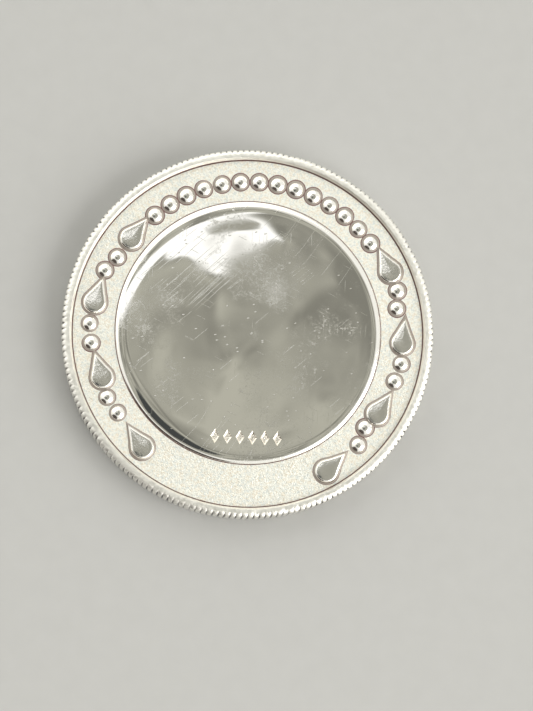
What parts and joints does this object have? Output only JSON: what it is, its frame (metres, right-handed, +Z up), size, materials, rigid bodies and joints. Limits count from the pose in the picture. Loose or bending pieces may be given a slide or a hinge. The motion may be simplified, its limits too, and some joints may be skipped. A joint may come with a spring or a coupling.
{
  "type": "ball marker",
  "caption": "Coin-shaped ball marker with a reeded rim, a frosted border carrying polished beads and teardrops, and a raised polished centre for engraving.",
  "frame": {"origin": "middle of the plane that the reverse rim rests on", "axes": "+Z up through the thickness, out of the decorated face; +Y towards the middle of the row of beads at the pattern's top; +X to the right"},
  "size_m": [0.039, 0.039, 0.003],
  "materials": {
    "reverse_silver": "satin",
    "rim_silver": "satin",
    "frosted_silver": "matte",
    "polished_silver": "polished",
    "bead_silver": "gloss",
    "drop_silver": "gloss"
  },
  "bodies": {
    "root": {"blank_core": "reverse_silver", "reeded_rim": "rim_silver", "frosted_border": "frosted_silver", "centre_boss": "polished_silver", "top_bead_01": "bead_silver", "top_bead_02": "bead_silver", "top_bead_03": "bead_silver", "top_bead_04": "bead_silver", "top_bead_05": "bead_silver", "top_bead_06": "bead_silver", "top_bead_07": "bead_silver", "top_bead_08": "bead_silver", "top_bead_09": "bead_silver", "top_bead_10": "bead_silver", "top_bead_11": "bead_silver", "top_bead_12": "bead_silver", "top_bead_13": "bead_silver", "top_bead_14": "bead_silver", "right_bead_01": "bead_silver", "right_bead_02": "bead_silver", "right_bead_03": "bead_silver", "right_bead_04": "bead_silver", "right_bead_05": "bead_silver", "right_bead_06": "bead_silver", "left_bead_01": "bead_silver", "left_bead_02": "bead_silver", "left_bead_03": "bead_silver", "left_bead_04": "bead_silver", "left_bead_05": "bead_silver", "left_bead_06": "bead_silver", "right_drop_01": "drop_silver", "right_drop_02": "drop_silver", "right_drop_03": "drop_silver", "right_drop_04": "drop_silver", "left_drop_01": "drop_silver", "left_drop_02": "drop_silver", "left_drop_03": "drop_silver", "left_drop_04": "drop_silver"}
  },
  "joints": []
}
